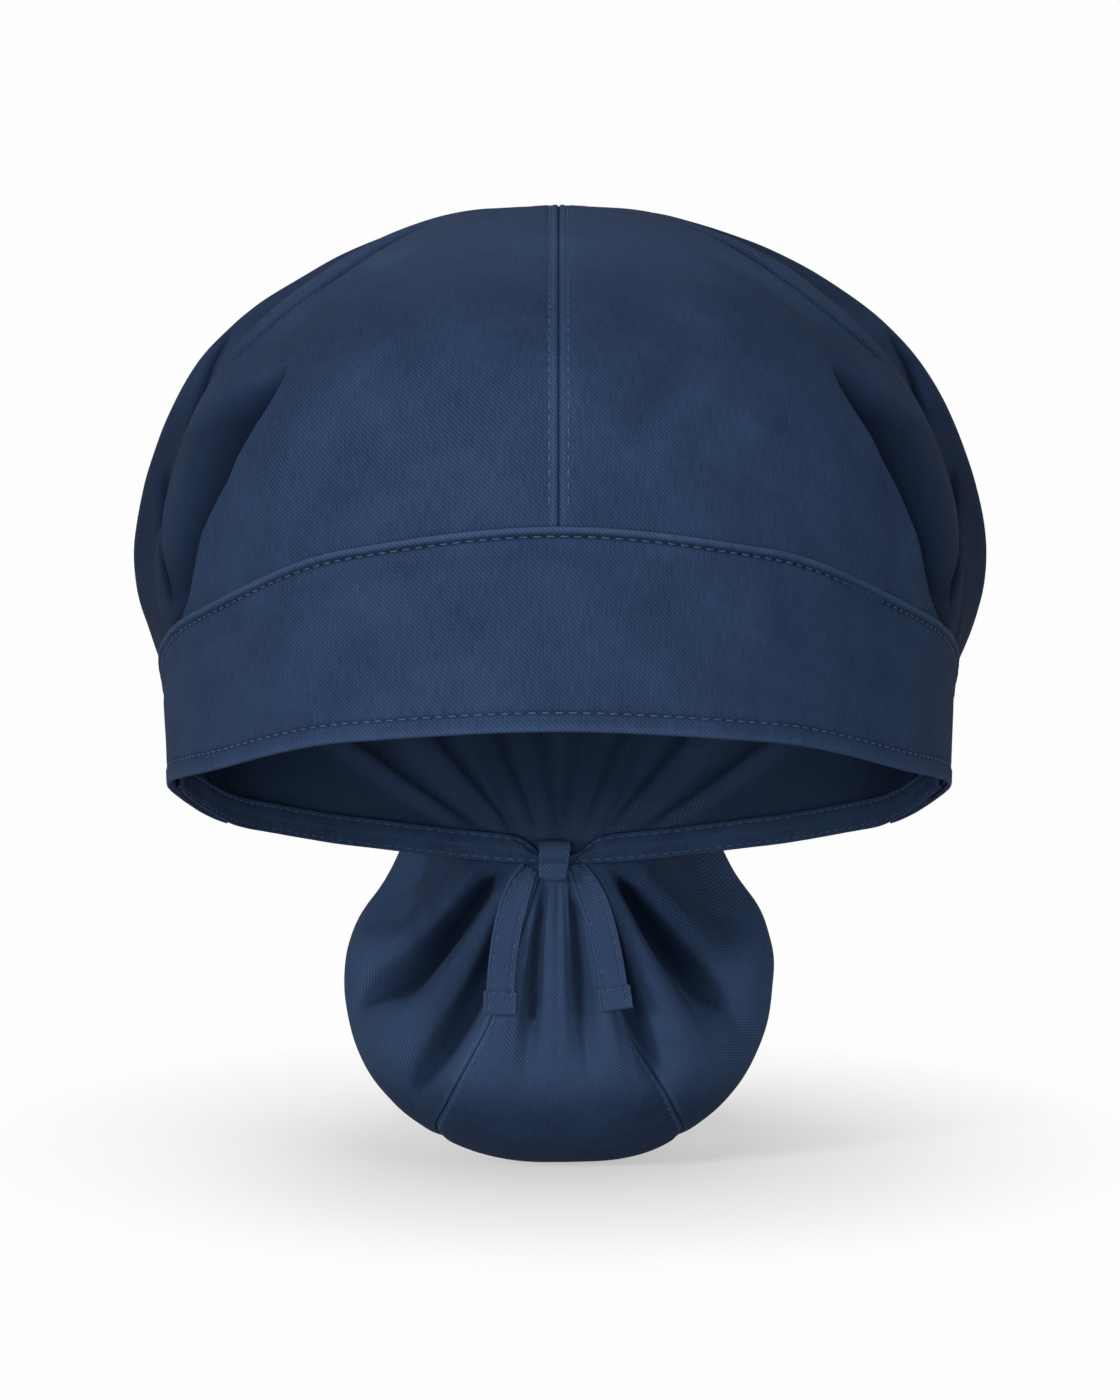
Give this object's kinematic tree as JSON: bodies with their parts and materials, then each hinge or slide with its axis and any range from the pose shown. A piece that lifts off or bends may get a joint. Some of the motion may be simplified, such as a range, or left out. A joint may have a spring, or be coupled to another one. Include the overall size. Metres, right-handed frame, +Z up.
{
  "type": "ponytail cap",
  "caption": "Soft cloth cap with a tall front band, a full gathered crown and a tied nape pouch that holds a ponytail.",
  "frame": {"origin": "middle of the head opening, level between the rim at the brow and the rim at the nape, where the wearer's head goes in", "axes": "+Z up as worn, the wearer faces -Y, +X is to the right in a front view"},
  "size_m": [0.192, 0.2959, 0.2385],
  "materials": {
    "navy_twill": "matt navy cotton twill with a fine diagonal weave and tonal stitching"
  },
  "bodies": {
    "root": {"front_band": "navy_twill", "back_casing_left": "navy_twill", "back_casing_right": "navy_twill", "crown_panel_left": "navy_twill", "crown_panel_right": "navy_twill", "crown_back_panel": "navy_twill", "pouch_centre_panel": "navy_twill", "pouch_side_left": "navy_twill", "pouch_side_right": "navy_twill", "tie_knot": "navy_twill", "tie_tail_left": "navy_twill", "tie_tail_right": "navy_twill"}
  },
  "joints": []
}
